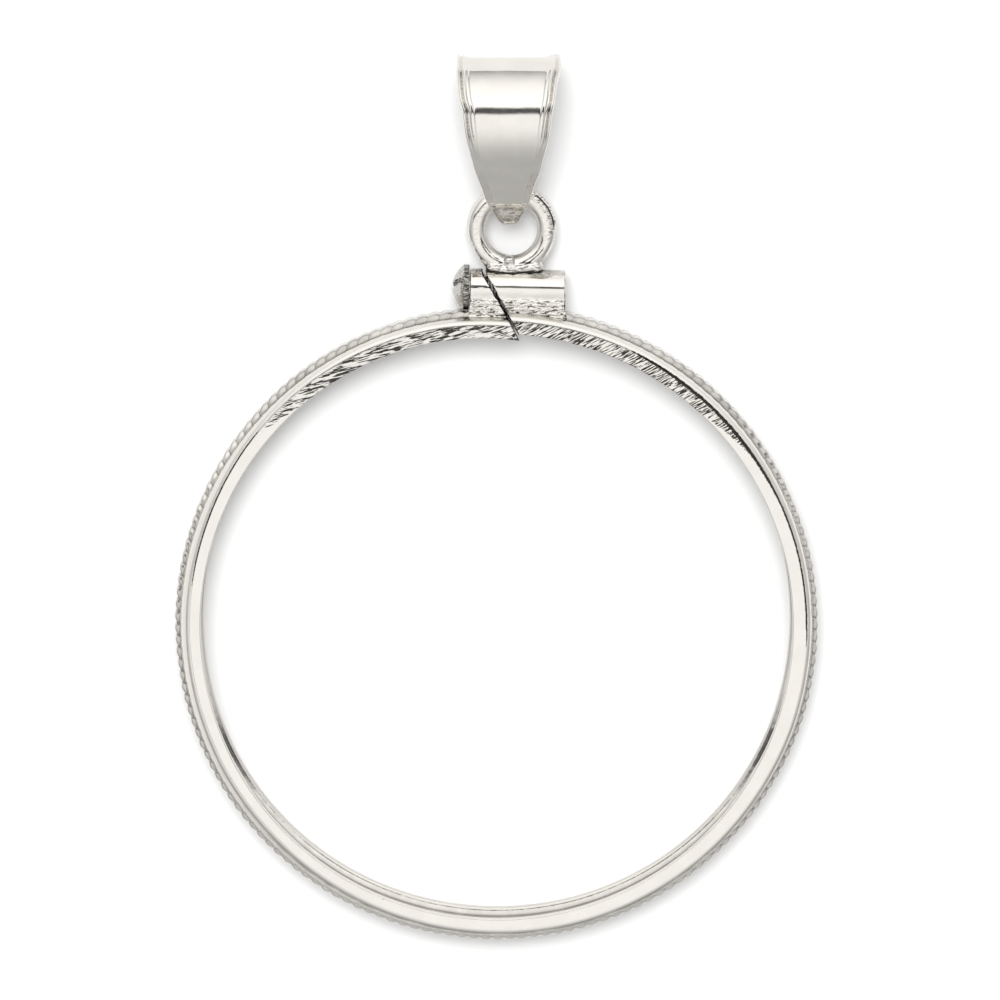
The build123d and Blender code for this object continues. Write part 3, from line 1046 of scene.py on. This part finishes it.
class BailGrid:
    """Points of the bail's strip, in columns along the loop and rows round its section"""

    def __init__(self):
        self.path = bail_path()
        self.along = self.path[:, 0:1]
        self.outer = self.along + self.path[:, 2:3] * BAIL_STRIP / 2
        self.half, self.centre = bail_sides(self.outer[:, 0])
        self.slim = np.minimum(1, self.half / 1.15)
        # Share of the full rims, of the tip below them, and of the tip's very end
        self.fade = smooth_step(3.1, 5.6, self.along)
        front = (np.arange(len(self.path)) < np.argmax(self.outer) + 4)[:, None]
        level = self.outer * 0
        swag = 0.10 * noise(np.stack([level, self.outer, level], -1), 0.3, 47)
        self.tip = smooth_step(0.32, -0.35, self.outer + swag) * front
        self.end = smooth_step(-1.02, -1.22, self.outer) * front
        self.flat_height = (-0.085 * (1 - self.end) + 0.05 * self.end) * self.tip
        inset = np.array(RIM_SECTION).T[0]
        self.inset = inset * self.slim * (0.82 + 0.18 * smooth_step(-0.5, 5.5, self.along))
        x, height = self.outer_face()
        self.shape_rough(x, height)

    def mirrored(self, edge, flat):
        """Rows across the outer face from those of one edge and the flat"""
        return np.concatenate([edge, flat + 0 * FLAT_PLACES, edge[:, ::-1]], 1)

    def outer_face(self):
        """Place across the strip, and height above its plain face, before any roughness"""
        _, rim, flank, lip = np.array(RIM_SECTION).T
        rim = rim * self.fade + flank * (1 - self.fade)
        lip = lip * (1 - self.end) + 0.05 * self.end
        rim = rim * (1 - self.tip) + lip * self.tip
        edge = self.half - self.inset
        x = np.concatenate([-edge, FLAT_PLACES * edge[:, -1:], edge[:, ::-1]], 1)
        return x, self.mirrored(rim, self.flat_height)

    def shape_rough(self, x, height):
        """Work out the points, with the tip's rough casting, and where it is bare"""
        level = np.stack([x, *(np.broadcast_to(self.path[:, i : i + 1], x.shape) for i in (0, 1))], -1)
        ragged = self.outer + 0.30 * noise(level, 0.45, 43) + 0.15 * x**2
        bare = smooth_step(0.22, -0.05, ragged)
        sore = bare * (1 - 0.85 * self.tip * (height > 0))
        height = height + sore * (0.026 * noise(level, 0.20, 44) + 0.014 * noise(level, 0.09, 45))
        height = height + 0.006 * noise(level, 1.3, 46) + BAIL_STRIP / 2
        inner_place, inner_height = np.array(INNER_SECTION).T
        inner_x = self.half * inner_place
        x = np.concatenate([x, inner_x], 1)
        height = np.concatenate([height, inner_x * 0 + inner_height * BAIL_STRIP / 2], 1)
        v = self.path[:, 0:1] + self.path[:, 2:3] * height
        w = self.path[:, 1:2] + self.path[:, 3:4] * height
        y = PIVOT[1] + v * math.cos(BAIL_TILT) - w * math.sin(BAIL_TILT)
        z = PIVOT[2] + v * math.sin(BAIL_TILT) + w * math.cos(BAIL_TILT)
        self.points = np.stack([PIVOT[0] + self.centre + x, y, np.maximum(z, 0.0)], -1)
        self.bare = np.concatenate([bare * (1 - self.tip * (self.flat_height > 0)), inner_x * 0], 1)

    def creases(self):
        """Painted shade in the tip's hollow and in the grooves beside the rims"""
        # Painted shade in the tip's hollow and in the grooves beside the rims
        hollow = 0.72 * line(self.inset, 0.19, 0.05) * self.tip * (1 - self.end)
        lines = 0.92 * line(self.inset, 0.205 * self.slim, 0.028)
        lines = lines + 0.84 * line(self.inset, 0.41 * self.slim, 0.028)
        lines = lines * np.clip(2 * self.fade * (1 - smooth_step(6.9, 7.05, self.outer)), 0, 1)
        outer = self.mirrored(np.maximum(hollow, lines), self.flat_height * 0)
        return np.concatenate([outer, np.zeros((len(self.path), len(INNER_SECTION)))], 1)


def make_bail():
    grid = BailGrid()
    columns, rows, _ = grid.points.shape
    faces = swept_faces(columns, rows, closed_columns=True)
    points = grid.points.reshape(-1, 3)
    piece = add_piece("bail_loop", points, faces, bail_silver, "bail", "bail")
    set_attribute(piece, "rough", grid.bare * 0.6)
    set_attribute(piece, "crease", grid.creases())


# Solder at the bail's tip: height above the pivot, and how far it reaches to each side
SOLDER_SIDES = (
    (-1.4, 0.06),
    (-1.2, 0.16),
    (-0.9, 0.26),
    (-0.5, 0.42),
    (0.2, 0.42),
)


def solder_field(points):
    """Solder that closes the bail's two tips inside the jump ring"""
    away = points - PIVOT
    v = away[..., 1] * math.cos(BAIL_TILT) + away[..., 2] * math.sin(BAIL_TILT)
    w = -away[..., 1] * math.sin(BAIL_TILT) + away[..., 2] * math.cos(BAIL_TILT)
    around = np.hypot(v, w)
    shell = np.abs(around - 1.20) - 0.16
    side = np.abs(away[..., 0]) - np.interp(v, *np.array(SOLDER_SIDES).T)
    blob = smooth_max(smooth_max(shell, side, 0.12), v + 0.45, 0.10)
    return blob - 0.02 * noise(points, 0.2, 41) - 0.012 * noise(points, 0.09, 42)


def make_solder():
    points, faces = surface_net(solder_field, PIVOT - 1.8, PIVOT + 1.8, 0.035)
    piece = add_piece("bail_solder", points, faces, bail_silver, "bail", "bail")
    set_attribute(piece, "rough", np.full(len(points), 0.8))
    set_attribute(piece, "crease", np.zeros(len(points)))


make_ring()
make_head()
make_screw()
make_bail()
make_solder()


# Floor, light and camera


# Level planes: name, reach in x, reach in y, depth below the pendant, tone
PLANES = (
    ("floor", 1500.0, 1500.0, 0.00, 0.68),
    ("paper", 52.0, 53.0, 0.05, 0.62),
    ("border", 61.0, 62.0, 0.10, 0.20),
)


def make_floor():
    """Bright table that the camera sees, and the paper with a dark border that the metal mirrors"""
    for name, across, along, depth, tone in PLANES:
        mesh = bpy.data.meshes.new(name)
        corners = [(-across, -along), (across, -along), (across, along), (-across, along)]
        mesh.from_pydata([(x * MM, y * MM, -depth * MM) for x, y in corners], [], [(0, 1, 2, 3)])
        plane = bpy.data.objects.new(name, mesh)
        bpy.context.scene.collection.objects.link(plane)
        material = bpy.data.materials.new(name)
        material.use_nodes = True
        n = Nodes(material.node_tree)
        place = n.add("ShaderNodeTexCoord").outputs["Object"]
        grain = n.mix(n.noise(place, 300.0), (tone - 0.02,) * 3, (tone,) * 3)
        settings = {"Base Color": grain, "Roughness": 0.9, "Specular IOR Level": 0.0}
        shader = n.add("ShaderNodeBsdfPrincipled", settings)
        n.add("ShaderNodeOutputMaterial", {"Surface": shader.outputs[0]})
        mesh.materials.append(material)
        plane.visible_glossy = name != "floor"
        plane.visible_camera = name == "floor"
        plane.visible_diffuse = False
        plane.visible_shadow = False


# Brightness of the studio by angle from straight up, towards +Y above 0 and towards -Y below 0
STUDIO = (
    (-90, 1.00),
    (-85, 0.90),
    (-75, 0.72),
    (-66, 0.67),
    (-60, 0.72),
    (-44, 0.88),
    (-25, 1.12),
    (-15, 1.20),
    (2, 1.20),
    (3.5, 1.12),
    (6.5, 0.10),
    (14.5, 0.08),
    (18.5, 1.50),
    (36, 1.50),
    (90, 1.45),
)
# Share of that brightness by angle above the horizon, and below it past the paper's far edge
LIFT = (
    (-90, 0.45),
    (-4, 0.45),
    (0, 0.54),
    (4, 0.61),
    (9, 0.69),
    (14, 0.76),
    (19, 0.81),
    (25, 0.87),
    (55, 1.0),
    (90, 1.0),
)


def make_world():
    """Studio that the metal mirrors: bright panels, with a dark gap above that ends at the sides"""
    world = bpy.data.worlds.new("studio")
    bpy.context.scene.world = world
    world.use_nodes = True
    n = Nodes(world.node_tree)
    way = n.add("ShaderNodeTexCoord").outputs["Generated"]
    x, y, z = n.add("ShaderNodeSeparateXYZ", {0: way}).outputs
    angle = n.math("ARCTAN2", y, n.math("MAXIMUM", z, 0.0))
    reach = {"Value": angle, "From Min": -math.pi / 2, "From Max": math.pi / 2}
    share = n.add("ShaderNodeMapRange", reach).outputs[0]
    level = n.ramp(share, [((a + 90) / 180, v / 2) for a, v in STUDIO])
    plain = n.ramp(share, [((a + 90) / 180, v / 2) for a, v in STUDIO if not 3 < a < 18])
    side = n.math("ABSOLUTE", x)
    level = n.mix(n.between(side, 0.70, 0.90), level, plain)
    up = n.math("DIVIDE", n.math("ARCSINE", z), math.pi)
    lift = n.ramp(n.math("ADD", up, 0.5), [((a + 90) / 180, v) for a, v in LIFT])
    lift = n.mix(n.between(side, 0.45, 0.90, 0.0, 0.38), lift, (0.0, 0.0, 0.0))
    both = n.add("ShaderNodeMix", {0: 1.0}, data_type="RGBA", blend_type="MULTIPLY")
    n.tree.links.new(level, both.inputs[6])
    n.tree.links.new(lift, both.inputs[7])
    back = n.add("ShaderNodeBackground", {"Color": both.outputs[2], "Strength": 2.0})
    n.add("ShaderNodeOutputWorld", {"Surface": back.outputs[0]})


def make_light():
    """Soft lamp high beyond the bail, which throws the shadows and isn't mirrored"""
    light = bpy.data.lights.new("key", "AREA")
    light.shape = "DISK"
    light.size = 0.24
    light.energy = 2.4
    lamp = bpy.data.objects.new("key", light)
    lamp.location = (-0.03, 0.15, 0.48)
    lamp.rotation_euler = (-math.atan2(0.15, 0.48), -math.atan2(0.03, 0.50), 0)
    lamp.visible_glossy = False
    bpy.context.scene.collection.objects.link(lamp)


def make_camera():
    """The photograph's view: from high beyond the bail, 8.5 degrees off straight down"""
    lens = bpy.data.cameras.new("camera")
    lens.sensor_width = 36.0
    lens.lens = 172.8
    lens.clip_start = 0.001
    camera = bpy.data.objects.new("camera", lens)
    camera.location = (0.167 * MM, 42.075 * MM, 240.675 * MM)
    camera.rotation_euler = (math.radians(-8.5), 0, 0)
    bpy.context.scene.collection.objects.link(camera)
    bpy.context.scene.camera = camera


make_floor()
make_world()
make_light()
make_camera()
bpy.context.scene.view_settings.view_transform = "Standard"
